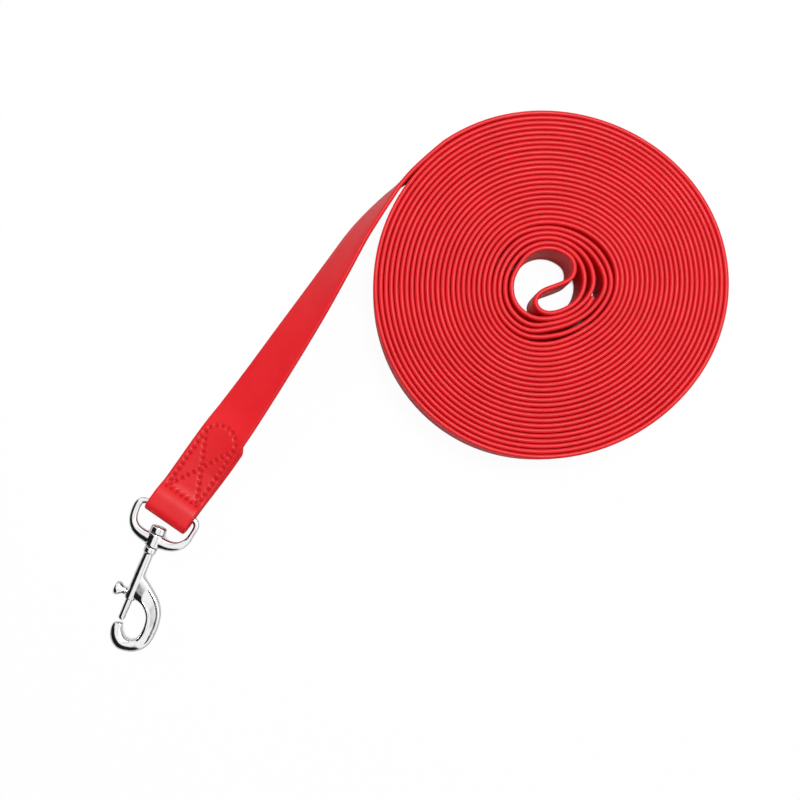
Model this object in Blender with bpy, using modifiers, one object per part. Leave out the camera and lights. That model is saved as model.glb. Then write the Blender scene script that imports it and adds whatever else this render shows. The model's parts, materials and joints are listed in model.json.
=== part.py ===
"""A rolled training leash: a 25 mm coated strap wound into a flat coil round its own hand loop,
with a swivel-eye bolt snap sewn to its free end.

Frame: +X and +Y lie in the plane of the coil, +Z is up, and the origin is the centre of the
leash's footprint at the level of the surface it lies on. All sizes below are in millimetres and
are turned into metres as the objects are made.
"""

import math

import bmesh
import bpy
from mathutils import Matrix, Vector

MM = 0.001
GAP = 0.3            # left between pieces that touch

# ---- the strap ----
STRAP_WIDTH = 25.0
STRAP_THICK = 2.3
COIL_CENTRE = (67.6, 49.5)
ARC_STEP = 15        # degrees between the points of the coil
SPIRAL_START = 1200  # degrees of winding where the regular spiral begins
COIL_END = 9486      # degrees of winding where the tail takes over
SPIRAL_PITCH = 2.63
MEAN_RADIUS = 28.16  # at MEAN_ANGLE degrees of winding
MEAN_ANGLE = 810
OUTER_ANGLE = 9180

# How the turns stray from circles: waves round a turn, the cosine's and the sine's share at
# MEAN_ANGLE, and what each has gained by OUTER_ANGLE.
OVALS = [(1, -0.28, 0.38, -0.77, -0.19), (2, 1.09, 1.31, -0.06, -0.35), (3, 0.90, 0.13, 0.0, 0.0)]
LIFT_OFF = 0.7       # the last turn leaves the coil this far as it turns into the tail
LIFT_OFF_START = 9455
LIFT_OFF_SPAN = 30

# The first turns are not round, because the hand loop is folded inside them: degrees of winding
# and radius of the strap's centreline, first for the loop's sewn end, then for the coil proper.
LOOP_END_TURN = [(703, 22.9), (690, 22.0), (660, 20.1), (630, 20.5), (600, 23.9), (570, 24.7), (540, 23.6),
                 (510, 22.4), (480, 22.0), (450, 21.6), (420, 20.5), (390, 18.9), (360, 17.4), (330, 16.2),
                 (300, 14.9), (270, 15.1)]
LOOP_FOLD = [(-4.9, -14.2), (-7.7, -11.3), (-8.1, -8.0), (-6.2, -5.0), (-2.6, -2.7),
             (1.4, -1.3), (6.1, 0.5), (10.0, 2.4), (12.2, 5.7), (12.5, 9.4)]
FIRST_TURN = [(52, 17.7), (72, 18.4), (90, 19.0), (120, 19.4), (150, 19.0), (180, 20.3), (210, 20.9),
              (240, 19.8), (270, 17.8), (300, 17.5), (330, 19.2), (360, 22.1), (390, 23.1), (420, 23.5),
              (450, 24.3), (480, 25.1), (510, 25.4), (540, 26.5), (570, 27.9), (600, 27.1), (630, 23.2),
              (660, 22.7), (690, 24.9), (720, 28.3), (750, 27.3), (780, 26.5), (810, 26.9), (840, 27.8),
              (870, 28.2), (900, 29.2), (930, 30.6), (960, 30.1), (990, 27.0), (1020, 26.3), (1050, 28.2),
              (1080, 31.3), (1110, 30.6), (1140, 29.3), (1170, 29.5)]

# The tail's centreline in plan, how far it has turned from standing on edge to lying flat
# (degrees), and how much of the under layer's height it has climbed.
TAIL_ROUTE = [
    (-1.1, 112.1, 3.0, 0.0),
    (-10.9, 103.6, 11.0, 0.0),
    (-19.2, 94.2, 19.0, 0.0),
    (-26.7, 84.9, 25.5, 0.0),
    (-33.5, 75.5, 30.5, 0.0),
    (-43.6, 59.4, 38.0, 0.0),
    (-55.8, 40.3, 47.0, 0.0),
    (-68.4, 21.2, 55.0, 0.0),
    (-81.2, 2.1, 62.6, 0.0),
    (-94.3, -17.0, 72.0, 0.35),
    (-101.0, -26.5, 78.5, 1.0),
    (-107.7, -36.0, 85.0, 1.0),
    (-114.3, -45.6, 90.0, 1.0),
]
TAIL_STEP = 5.0      # length of strap between the points of the tail
TAIL_LIFT = 0.1      # between the tail's lower edge and the surface

# ---- the sewn fold that holds the snap ----
FLAP_LIFT = 0.55     # the under layer rides on its thread
UNDER_Z = FLAP_LIFT + STRAP_THICK / 2
UPPER_Z = UNDER_Z + STRAP_THICK + GAP
FOLD_TIP = 6.8       # from the bar's centre to the outside of the fold
LOOP_TOP_Z = 8.25    # centreline of the upper layer over the bar
FLAP_LENGTH = 48.0   # from the bar's centre to the cut end under the tail
UPPER_RISE = [(-14.0, 0.0), (-11.5, 0.11), (-9.0, 0.43), (-6.5, 0.78), (-4.0, 0.96), (-1.0, 1.0)]
BAR_ON_STRAP = 2.2   # the strap lies this far to one side of the bar's middle

# ---- the seam: an arch over a box with a cross in it ----
THREAD_RADIUS = 0.3
BOBBIN_RADIUS = 0.2
SEAM_HALF_WIDTH = 10.0
SEAM_FOOT = -9.0     # from the bar's centre
SEAM_SHOULDER = -41.0
SEAM_ARCH = 6.0
THREAD_STEP = 3.5
STEP_OVER = 0.75     # the last diagonal passes over the first by so much

# ---- the bolt snap, in its own frame: +Y towards the strap, the swivel axis on x = z = 0 ----
SNAP_ORIGIN = (-140.1, -87.9, 4.35)
SNAP_YAW = -22.36
SNAP_PITCH = 1.35    # the hook's end lies on the surface, its eye is held up by the strap
BAR_Y = 23.2
BAR_RADIUS = 1.7
EYE_HALF = 16.0      # centreline of the eye's arms
EYE_SIDE = 1.2       # the eye's window sits this far to one side of the swivel
EYE_FLOOR_Y = 5.6
BOSS_RADIUS = 4.0
BOSS_ENDS = (2.0, 9.1)
SHANK_RADIUS = 2.0
HEAD_RADIUS = 4.2
HEAD_ENDS = (9.4, 13.2)
COLLAR_RADIUS = 3.2
COLLAR_ENDS = (-1.4, 1.7)
BARREL_RADIUS = 2.75
BARREL_FRONT = -27.2
BORE_RADIUS = 2.05
BORE_END = -6.0
BOLT_RADIUS = 1.75
BOLT_ENDS = (-38.2, -20.5)
KNOB_Y = -24.2
KNOB_TRAVEL = 9.0
STUD_RADIUS = 1.0
SLOT_HALF = STUD_RADIUS + GAP
HOOK_THICK = 6.0
HOOK_ROUNDING = 1.2
SPRING_ENDS = (-20.2, -6.3)
SPRING_TURNS = 7
SPRING_RADIUS = 1.35
SPRING_WIRE = 0.25

HOOK_OUTLINE = [(2.4, -13.5), (6.5, -16.0), (9.8, -18.5), (15.4, -23.7), (18.6, -29.9), (19.4, -38.6),
                (18.5, -44.6), (15.8, -48.8), (11.2, -52.0), (5.0, -51.8), (0.8, -49.6), (-1.2, -46.0),
                (-1.9, -41.0), (-1.4, -39.6), (1.9, -39.6), (2.5, -42.0), (5.0, -45.6), (8.6, -46.4),
                (11.3, -44.3), (12.6, -39.4), (12.3, -34.0), (10.6, -30.2), (7.4, -27.6), (2.4, -26.0)]


def new_collection(name):
    collection = bpy.data.collections.new(name)
    bpy.context.scene.collection.children.link(collection)
    return collection


def material(name, colour, roughness, metallic=0.0):
    made = bpy.data.materials.new(name)
    made.use_nodes = True
    shader = made.node_tree.nodes["Principled BSDF"]
    shader.inputs["Base Color"].default_value = (*colour, 1.0)
    shader.inputs["Roughness"].default_value = roughness
    shader.inputs["Metallic"].default_value = metallic
    made.diffuse_color = (*colour, 1.0)
    return made


def add_object(name, data, collection, look=None, parent=None):
    made = bpy.data.objects.new(name, data)
    collection.objects.link(made)
    if look is not None:
        data.materials.append(look)
    made.parent = parent
    return made


def poly_spline(curve, points, tilts=None, closed=False):
    """Adds a straight-segment spline through points, given in millimetres."""
    spline = curve.splines.new("POLY")
    spline.points.add(len(points) - 1)
    for index, point in enumerate(points):
        x, y, z = (*point, 0.0)[:3]
        spline.points[index].co = (x * MM, y * MM, z * MM, 1.0)
        if tilts is not None:
            spline.points[index].tilt = tilts[index]
    spline.use_cyclic_u = closed
    return spline


def flat_outline(name, outline, half_thickness, rounding=0.0):
    """A filled 2D curve through a closed outline, extruded to both sides."""
    curve = bpy.data.curves.new(name, "CURVE")
    curve.dimensions = "2D"
    curve.fill_mode = "BOTH"
    curve.extrude = (half_thickness - rounding) * MM
    curve.bevel_depth = rounding * MM
    curve.bevel_resolution = 1
    curve.offset = -rounding * MM
    poly_spline(curve, outline, closed=True)
    return curve


def tube_curve(name, points, radius, sides=2, closed=False):
    curve = bpy.data.curves.new(name, "CURVE")
    curve.dimensions = "3D"
    curve.bevel_depth = radius * MM
    curve.bevel_resolution = sides
    curve.use_fill_caps = True
    poly_spline(curve, points, closed=closed)
    return curve


def catmull(points, closed=False, steps=4):
    """Points on a smooth curve through the given ones, the ends included."""
    count = len(points)
    spans = count if closed else count - 1
    smooth = []
    for index in range(spans):
        around = []
        for offset in (-1, 0, 1, 2):
            place = index + offset
            place = place % count if closed else min(max(place, 0), count - 1)
            around.append(Vector(points[place]))
        before, start, end, after = around
        for step in range(steps):
            t = step / steps
            smooth.append(0.5 * (2 * start + (end - before) * t
                                 + (2 * before - 5 * start + 4 * end - after) * t ** 2
                                 + (3 * start - before - 3 * end + after) * t ** 3))
    if not closed:
        smooth.append(Vector(points[-1]))
    return smooth


def as_mesh_object(made):
    """Replaces a curve object by a mesh object whose caps are welded to its sides."""
    depsgraph = bpy.context.evaluated_depsgraph_get()
    mesh = bpy.data.meshes.new_from_object(made.evaluated_get(depsgraph))
    body = bmesh.new()
    body.from_mesh(mesh)
    bmesh.ops.remove_doubles(body, verts=body.verts, dist=0.00001)
    bmesh.ops.recalc_face_normals(body, faces=body.faces)
    body.to_mesh(mesh)
    body.free()
    name, collection, parent = made.name, made.users_collection[0], made.parent
    placed = made.matrix_world.copy()
    bpy.data.objects.remove(made)
    replacement = add_object(name, mesh, collection, parent=parent)
    replacement.name = name
    replacement.matrix_world = placed
    return replacement


def cylinder_mesh(name, radius, length, segments=24):
    """A capped cylinder along Y with its middle at the origin."""
    mesh = bpy.data.meshes.new(name)
    body = bmesh.new()
    bmesh.ops.create_cone(body, cap_ends=True, segments=segments, radius1=radius * MM, radius2=radius * MM,
                          depth=length * MM, matrix=Matrix.Rotation(math.radians(90), 4, "X"))
    body.to_mesh(mesh)
    body.free()
    return mesh


def cylinder_between(name, radius, ends, collection, parent, look=None, segments=24):
    made = add_object(name, cylinder_mesh(name, radius, abs(ends[1] - ends[0]), segments), collection, look, parent)
    made.location = (0, sum(ends) / 2 * MM, 0)
    return made


def as_cutter(made):
    made.hide_render = True
    made.display_type = "WIRE"
    return made


def boolean(target, other, operation):
    step = target.modifiers.new(f"{operation.lower()} {other.name}", "BOOLEAN")
    step.operation = operation
    step.solver = "EXACT"
    step.object = other
    return step


# ---------------------------------------------------------------- the strap's route

def oval_radius(winding):
    """Radius of the coil's centreline at so many degrees of winding."""
    outwards = (winding - MEAN_ANGLE) / (OUTER_ANGLE - MEAN_ANGLE)
    angle = math.radians(winding)
    radius = MEAN_RADIUS + SPIRAL_PITCH * (winding - MEAN_ANGLE) / 360
    for waves, cosine, sine, cosine_gain, sine_gain in OVALS:
        radius += (cosine + cosine_gain * outwards) * math.cos(waves * angle)
        radius += (sine + sine_gain * outwards) * math.sin(waves * angle)
    share = min(max((winding - LIFT_OFF_START) / LIFT_OFF_SPAN, 0.0), 1.0)
    return radius + LIFT_OFF * share * share * (3 - 2 * share)


def polar(winding, radius):
    angle = math.radians(winding)
    return (COIL_CENTRE[0] + radius * math.cos(angle), COIL_CENTRE[1] + radius * math.sin(angle))


def smooth_polar(turn):
    """A winding read every ARC_STEP degrees from its list of (degrees, radius)."""
    fine = catmull([(a, r) for a, r in turn], steps=12)
    low, high = sorted((turn[0][0], turn[-1][0]))
    first = math.ceil(low / ARC_STEP) * ARC_STEP
    wanted = list(range(first, int(high) + 1, ARC_STEP))
    if turn[0][0] > turn[-1][0]:
        wanted.reverse()
    if not wanted or wanted[0] != turn[0][0]:
        wanted.insert(0, turn[0][0])
    read = []
    for angle in wanted:
        nearest = min(fine, key=lambda p: abs(p[0] - angle))
        read.append((angle, nearest[1]))
    return read


def coil_route():
    """Plan of the rolled strap, from the hand loop's sewn end to where the tail leaves."""
    route = [polar(angle, radius) for angle, radius in smooth_polar(LOOP_END_TURN)]
    fold = [(COIL_CENTRE[0] + x, COIL_CENTRE[1] + y) for x, y in LOOP_FOLD]
    whole = [Vector(route[-2]), Vector(route[-1])] + [Vector(p) for p in fold]
    whole += [Vector(polar(*FIRST_TURN[0])), Vector(polar(*FIRST_TURN[1]))]
    bend = catmull([tuple(p) for p in whole], steps=2)
    route = route[:-2] + [tuple(p) for p in bend[:-1]]
    route += [polar(angle, radius) for angle, radius in smooth_polar(FIRST_TURN[1:])]
    winding = SPIRAL_START
    while winding < COIL_END:
        route.append(polar(winding, oval_radius(winding)))
        winding += ARC_STEP
    route.append(polar(COIL_END, oval_radius(COIL_END)))
    return route


def tail_frames():
    """Centre, width direction and face normal of the tail, every TAIL_STEP of its length."""
    start = polar(COIL_END, oval_radius(COIL_END))
    before = polar(COIL_END - ARC_STEP / 2, oval_radius(COIL_END - ARC_STEP / 2))
    route = [(*before, 0.0, 0.0), (*start, 0.0, 0.0)] + TAIL_ROUTE
    fine = catmull([p[:3] for p in route], steps=24)
    climb = catmull([(p[3], p[3], p[3]) for p in route], steps=24)
    fine, climb = fine[24:], climb[24:]
    frames = []
    travelled, due = 0.0, 0.0
    for index, point in enumerate(fine):
        last = index == len(fine) - 1
        if index:
            travelled += (Vector(point[:2]) - Vector(fine[index - 1][:2])).length
        if travelled < due and not last:
            continue
        due = travelled + TAIL_STEP
        ahead = fine[min(index + 1, len(fine) - 1)]
        behind = fine[max(index - 1, 0)]
        along = (Vector(ahead[:2]) - Vector(behind[:2])).normalized()
        frames.append(strap_frame(point, along, climb[index][0]))
    return frames


def strap_frame(point, along, climb):
    turn = math.radians(point[2])
    side = Vector((-along.y, along.x, 0.0))
    width = Vector((0, 0, math.cos(turn))) + side * math.sin(turn)
    face = Vector((0, 0, math.sin(turn))) - side * math.cos(turn)
    height = TAIL_LIFT + STRAP_WIDTH / 2 * math.cos(turn) + STRAP_THICK / 2 * math.sin(turn)
    height += climb * (UPPER_Z - STRAP_THICK / 2 - TAIL_LIFT)
    centre = Vector((point[0], point[1], height))
    return centre, width, face, turn


def ribbon_curve(name, points, tilts):
    """A strap-shaped section swept along a route, standing on edge where its tilt is 0."""
    section = bpy.data.curves.new(f"{name}_section", "CURVE")
    section.dimensions = "2D"
    half_thick, half_wide = STRAP_THICK / 2, STRAP_WIDTH / 2
    poly_spline(section, [(-half_thick, -half_wide), (half_thick, -half_wide),
                          (half_thick, half_wide), (-half_thick, half_wide)], closed=True)
    guide = as_cutter(add_object(f"{name}_section", section, guides))
    curve = bpy.data.curves.new(name, "CURVE")
    curve.dimensions = "3D"
    curve.twist_mode = "Z_UP"
    curve.bevel_mode = "OBJECT"
    curve.bevel_object = guide
    curve.use_fill_caps = True
    poly_spline(curve, points, tilts)
    return curve


# ---------------------------------------------------------------- strap pieces

def strap_coil():
    route = coil_route()
    curve = ribbon_curve("strap_coil", [(x, y, STRAP_WIDTH / 2) for x, y in route], [0.0] * len(route))
    return as_mesh_object(add_object("strap_coil", curve, leash, strap_red))


def strap_tail(frames):
    first, second = frames[0][0], frames[1][0]
    inset = (second - first).normalized() * GAP
    points = [tuple(frame[0]) for frame in frames]
    points[0] = tuple(first + inset)
    curve = ribbon_curve("strap_tail", points, [-frame[3] for frame in frames])
    return as_mesh_object(add_object("strap_tail", curve, leash, strap_red))


def upper_height(along):
    """Centreline height of the fold's upper layer; along is measured from the bar to the tip."""
    share = 0.0 if along < UPPER_RISE[0][0] else 1.0
    for (a, low), (b, high) in zip(UPPER_RISE, UPPER_RISE[1:]):
        if a <= along <= b:
            share = low + (high - low) * (along - a) / (b - a)
    return UPPER_Z + (LOOP_TOP_Z - UPPER_Z) * share


def fold_centreline():
    """From the end of the tail, over the bar, round the tip and back to the cut end."""
    bend = (LOOP_TOP_Z - UNDER_Z) / 2
    bend_x = FOLD_TIP - bend - STRAP_THICK / 2
    line = [(FOLD_START, UPPER_Z), (-20.0, UPPER_Z)]
    line += [(along, upper_height(along)) for along, _ in UPPER_RISE]
    for step in range(9):
        angle = math.radians(90 - 22.5 * step)
        line.append((bend_x + bend * math.cos(angle), UNDER_Z + bend + bend * math.sin(angle)))
    line += [(-12.0, UNDER_Z), (-FLAP_LENGTH, UNDER_Z)]
    return line


def band_outline(line, thick):
    """The closed outline of a band of even thickness along an open line."""
    left, right = [], []
    for index, point in enumerate(line):
        here = Vector(point)
        back = (here - Vector(line[index - 1])).normalized() if index else None
        on = (Vector(line[index + 1]) - here).normalized() if index < len(line) - 1 else None
        along = ((back or on) + (on or back)).normalized()
        cosine = along.dot(back or on)
        offset = Vector((-along.y, along.x)) * thick / 2 / cosine
        left.append(tuple(here + offset))
        right.append(tuple(here - offset))
    return left + right[::-1]


def strap_snap_fold():
    outline = band_outline(fold_centreline(), STRAP_THICK)
    curve = flat_outline("strap_snap_fold", outline, STRAP_WIDTH / 2)
    made = add_object("strap_snap_fold", curve, leash, strap_red)
    made.location = Vector((bar_point.x, bar_point.y, 0)) * MM
    made.rotation_euler = (math.radians(90), 0, fold_heading)
    return made


def seam_path():
    """The seam in the strap's plane, in one stroke: (along, across, how far it is stepped up)."""
    low, high, side = SEAM_FOOT, SEAM_SHOULDER, SEAM_HALF_WIDTH
    corners = [(low, -side), (high, -side)]
    arch = [(high - SEAM_ARCH * math.sin(math.radians(a)), -side * math.cos(math.radians(a)))
            for a in range(30, 151, 30)]
    corners += arch + [(high, side), (low, side), (low, 1 - side)]
    corners += [(high, side - 1.2), (high + 1.2, 1.2 - side), (low - 1.2, side - 1.2)]
    path = []
    for start, end in zip(corners, corners[1:]):
        length = math.dist(start, end)
        count = max(1, round(length / THREAD_STEP))
        over = STEP_OVER if end == corners[-1] else 0.0
        for step in range(count):
            share = step / count
            path.append((*Vector(start).lerp(Vector(end), share), over if share > 0.25 else 0.0))
    return path + [(*corners[-1], STEP_OVER)]


def upper_surface(along, across, above):
    """A point over the upper layer: along from the bar, across from the strap's middle."""
    if along > FOLD_START:
        centre = bar_point + fold_along * along
        rise = upper_height(along) + STRAP_THICK / 2 + above
        place = centre + fold_across * across
        return Vector((place.x, place.y, rise))
    wanted = FOLD_START - along
    travelled = 0.0
    for near, far in zip(tail[::-1], tail[::-1][1:]):
        length = (far[0] - near[0]).length
        if travelled + length >= wanted:
            share = (wanted - travelled) / length
            centre = near[0].lerp(far[0], share)
            width = near[1].lerp(far[1], share)
            face = near[2].lerp(far[2], share)
            return centre + width * across + face * (STRAP_THICK / 2 + above)
        travelled += length
    return centre


def snap_seam_thread():
    """The visible thread, with its crossings stepped over one another."""
    points = [upper_surface(along, across, THREAD_RADIUS + GAP + step_up)
              for along, across, step_up in seam_path()]
    curve = tube_curve("snap_seam_thread", points, THREAD_RADIUS, sides=1)
    return add_object("snap_seam_thread", curve, leash, thread_red)


def snap_seam_bobbin_thread():
    """The under thread: the seam's outline on the underside of the flap."""
    low, high, side = SEAM_FOOT, SEAM_SHOULDER, SEAM_HALF_WIDTH
    corners = [(low, 1 - side), (low, side), (high, side)]
    corners += [(high - SEAM_ARCH * math.sin(math.radians(a)), side * math.cos(math.radians(a)))
                for a in range(30, 151, 30)]
    corners += [(high, -side), (low, -side)]
    points = []
    for along, across in corners:
        place = bar_point + fold_along * along + fold_across * across
        points.append((place.x, place.y, BOBBIN_RADIUS + 0.05))
    curve = tube_curve("snap_seam_bobbin_thread", points, BOBBIN_RADIUS, sides=1)
    return add_object("snap_seam_bobbin_thread", curve, leash, thread_red)


# ---------------------------------------------------------------- snap pieces

def swivel_eye(snap):
    """A D-shaped casting: bar, two arms and a heavy foot with the swivel's boss."""
    floor = EYE_FLOOR_Y
    half = [(0.0, BAR_Y, 1.0), (EYE_HALF - 2.5, BAR_Y, 1.0), (EYE_HALF - 0.5, BAR_Y - 0.7, 1.0),
            (EYE_HALF, BAR_Y - 2.6, 1.0), (EYE_HALF, 12.0, 1.0), (EYE_HALF - 1.2, 9.0, 1.1),
            (EYE_HALF - 3.6, 6.9, 1.3), (EYE_HALF - 6.8, floor + 0.3, 1.6), (5.5, floor, 1.75), (0.0, floor, 1.8)]
    loop = half + [(-x, y, scale) for x, y, scale in half[-2:0:-1]]
    curve = bpy.data.curves.new("swivel_eye", "CURVE")
    curve.dimensions = "3D"
    curve.bevel_depth = BAR_RADIUS * MM
    curve.bevel_resolution = 3
    curve.twist_mode = "Z_UP"
    blend = [min(1.0, abs(x) / EYE_HALF) if y < BAR_Y / 2 else 1.0 for x, y, _ in loop]
    spline = poly_spline(curve, [(x + EYE_SIDE * share, y) for (x, y, _), share in zip(loop, blend)], closed=True)
    for point, (_, _, scale) in zip(spline.points, loop):
        point.radius = scale
    frame = as_mesh_object(add_object("swivel_eye", curve, leash, parent=snap))
    frame.data.materials.append(chrome)
    boss = as_cutter(cylinder_between("eye_boss", BOSS_RADIUS, BOSS_ENDS, guides, snap))
    bore = as_cutter(cylinder_between("eye_bore", SHANK_RADIUS + GAP, (-5, 20), guides, snap))
    clear_inside = as_cutter(cylinder_between("eye_head_room", HEAD_RADIUS + 0.6, (BOSS_ENDS[1], 16), guides, snap))
    clear_outside = as_cutter(cylinder_between("eye_collar_room", 6.0, (-8, BOSS_ENDS[0]), guides, snap))
    boolean(frame, boss, "UNION")
    for cutter in (bore, clear_inside, clear_outside):
        boolean(frame, cutter, "DIFFERENCE")
    return frame


def hook_body(snap):
    """Barrel, hook, collar, swivel shank and its peened head, in one casting."""
    outline = [tuple(p) for p in catmull(HOOK_OUTLINE, closed=True, steps=3)]
    curve = flat_outline("hook_body", outline, HOOK_THICK / 2, HOOK_ROUNDING)
    hook = as_mesh_object(add_object("hook_body", curve, leash, parent=snap))
    hook.data.materials.append(chrome)
    barrel = cylinder_between("hook_barrel", BARREL_RADIUS, (BARREL_FRONT, COLLAR_ENDS[0] + 0.5), guides, snap)
    collar = cylinder_between("hook_collar", COLLAR_RADIUS, COLLAR_ENDS, guides, snap)
    shank = cylinder_between("hook_shank", SHANK_RADIUS, (COLLAR_ENDS[1] - 1, HEAD_ENDS[0] + 1), guides, snap)
    head = cylinder_between("hook_head", HEAD_RADIUS, HEAD_ENDS, guides, snap)
    for solid in (barrel, collar, shank, head):
        boolean(hook, as_cutter(solid), "UNION")
    bore = as_cutter(cylinder_between("hook_bore", BORE_RADIUS, (BARREL_FRONT - 1, BORE_END), guides, snap))
    boolean(hook, bore, "DIFFERENCE")
    slot_low, slot_high = KNOB_Y - SLOT_HALF, KNOB_Y + KNOB_TRAVEL + SLOT_HALF
    slot_mesh = bpy.data.meshes.new("hook_slot")
    body = bmesh.new()
    bmesh.ops.create_cube(body, size=1.0)
    bmesh.ops.scale(body, verts=body.verts, vec=(4 * MM, (slot_high - slot_low) * MM, 2 * SLOT_HALF * MM))
    body.to_mesh(slot_mesh)
    body.free()
    slot = as_cutter(add_object("hook_slot", slot_mesh, guides, parent=snap))
    slot.location = (-3.2 * MM, (slot_low + slot_high) / 2 * MM, 0)
    boolean(hook, slot, "DIFFERENCE")
    return hook


def bolt(snap):
    made = cylinder_between("bolt", BOLT_RADIUS, BOLT_ENDS, leash, snap, chrome)
    pit_mesh = cylinder_mesh("bolt_pit", STUD_RADIUS + GAP, 2.0, segments=12)
    pit = as_cutter(add_object("bolt_pit", pit_mesh, guides, parent=snap))
    pit.rotation_euler = (0, 0, math.radians(90))
    pit.location = (-1.7 * MM, KNOB_Y * MM, 0)
    boolean(made, pit, "DIFFERENCE")
    return made


def thumb_knob(snap):
    """A turned knob whose stud passes through the barrel's slot into the bolt."""
    profile = [(0.0, -9.3), (2.3, -9.3), (3.1, -8.9), (3.3, -8.2), (3.2, -6.8), (2.4, -5.6),
               (1.9, -4.6), (1.9, -3.3), (STUD_RADIUS, -3.2), (STUD_RADIUS, -1.0), (0.0, -1.0)]
    mesh = bpy.data.meshes.new("thumb_knob")
    body = bmesh.new()
    verts = [body.verts.new((radius * MM, 0, place * MM)) for radius, place in profile[::-1]]
    for near, far in zip(verts, verts[1:]):
        body.edges.new((near, far))
    body.to_mesh(mesh)
    body.free()
    made = add_object("thumb_knob", mesh, leash, chrome, snap)
    turn = made.modifiers.new("turned", "SCREW")
    turn.steps = turn.render_steps = 20
    turn.use_merge_vertices = True
    turn.merge_threshold = 0.00001
    turn.use_normal_calculate = True
    made.rotation_euler = (0, math.radians(90), 0)
    made.location = (0, KNOB_Y * MM, 0)
    return made


def bolt_spring(snap):
    """A compression spring between the bolt and the blind end of the barrel's bore."""
    low, high = SPRING_ENDS[0] + SPRING_WIRE, SPRING_ENDS[1] - SPRING_WIRE
    per_turn = 10
    points = []
    for index in range(SPRING_TURNS * per_turn + 1):
        angle = 2 * math.pi * index / per_turn
        points.append((SPRING_RADIUS * math.cos(angle), low + (high - low) * index / (SPRING_TURNS * per_turn),
                       SPRING_RADIUS * math.sin(angle)))
    curve = tube_curve("bolt_spring", points, SPRING_WIRE, sides=1)
    return add_object("bolt_spring", curve, leash, spring_steel, snap)


# ---------------------------------------------------------------- the whole leash

for old in list(bpy.data.objects):
    bpy.data.objects.remove(old)

leash = new_collection("training_leash")
guides = new_collection("cutters")
strap_red = material("strap_red", (0.83, 0.03, 0.04), 0.42)
thread_red = material("thread_red", (0.60, 0.02, 0.03), 0.75)
chrome = material("chrome", (0.80, 0.80, 0.82), 0.12, 1.0)
spring_steel = material("spring_steel", (0.55, 0.56, 0.58), 0.3, 1.0)

snap_frame = add_object("snap_frame", None, leash)
snap_frame.matrix_world = (Matrix.Translation(Vector(SNAP_ORIGIN) * MM)
                           @ Matrix.Rotation(math.radians(SNAP_YAW), 4, "Z")
                           @ Matrix.Rotation(math.radians(SNAP_PITCH), 4, "X"))
bpy.context.view_layer.update()

tail = tail_frames()
bar_point = snap_frame.matrix_world @ Vector((BAR_ON_STRAP * MM, BAR_Y * MM, 0)) / MM
tail_end = Vector(TAIL_ROUTE[-1][:2])
fold_along = Vector((bar_point.x - tail_end.x, bar_point.y - tail_end.y, 0))
FOLD_START = -fold_along.length + GAP
fold_along.normalize()
fold_across = Vector((-fold_along.y, fold_along.x, 0))
fold_heading = math.atan2(fold_along.y, fold_along.x)

strap_coil()
strap_tail(tail)
strap_snap_fold()
snap_seam_thread()
snap_seam_bobbin_thread()
swivel_eye(snap_frame)
hook_body(snap_frame)
bolt(snap_frame)
thumb_knob(snap_frame)
bolt_spring(snap_frame)

for made in leash.objects:
    if made.type == "MESH":
        made.data.shade_smooth()
        made.data.set_sharp_from_angle(angle=math.radians(35))
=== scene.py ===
"""The looks of the rolled training leash: its coated strap, sewn fold, stitches and plated snap.

Shapes are worked out in millimetres, the strap in the frame's own axes and the snap in its own
(+Y along the swivel's axis towards the strap, +Z up), and turned into metres as meshes are made.
"""

import json
import math

import bmesh
import bpy
import numpy as np
from mathutils import Matrix, Vector


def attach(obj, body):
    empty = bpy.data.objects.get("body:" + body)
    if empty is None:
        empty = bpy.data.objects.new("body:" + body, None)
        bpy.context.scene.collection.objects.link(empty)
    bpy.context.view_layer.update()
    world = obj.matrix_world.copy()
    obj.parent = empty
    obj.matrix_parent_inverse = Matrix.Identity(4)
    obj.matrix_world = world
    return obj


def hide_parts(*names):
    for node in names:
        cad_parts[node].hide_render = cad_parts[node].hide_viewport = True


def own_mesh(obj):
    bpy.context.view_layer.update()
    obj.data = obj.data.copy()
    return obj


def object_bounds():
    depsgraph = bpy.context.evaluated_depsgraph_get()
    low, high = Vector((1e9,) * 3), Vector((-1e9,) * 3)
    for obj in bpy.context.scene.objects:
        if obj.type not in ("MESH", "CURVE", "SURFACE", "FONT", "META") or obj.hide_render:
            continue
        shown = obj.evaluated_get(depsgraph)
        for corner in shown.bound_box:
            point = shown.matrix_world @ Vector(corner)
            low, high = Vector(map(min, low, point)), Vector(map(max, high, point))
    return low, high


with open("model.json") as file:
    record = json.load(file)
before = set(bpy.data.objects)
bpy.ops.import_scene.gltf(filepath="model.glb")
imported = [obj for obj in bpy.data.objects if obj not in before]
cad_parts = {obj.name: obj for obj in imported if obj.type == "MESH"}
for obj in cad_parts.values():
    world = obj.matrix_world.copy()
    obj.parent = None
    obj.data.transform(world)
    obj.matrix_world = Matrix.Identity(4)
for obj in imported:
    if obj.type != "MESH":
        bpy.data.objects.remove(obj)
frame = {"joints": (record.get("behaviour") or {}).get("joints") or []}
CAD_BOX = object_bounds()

MM = 0.001
JOINTS = {joint["name"]: joint for joint in frame["joints"]}

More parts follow.
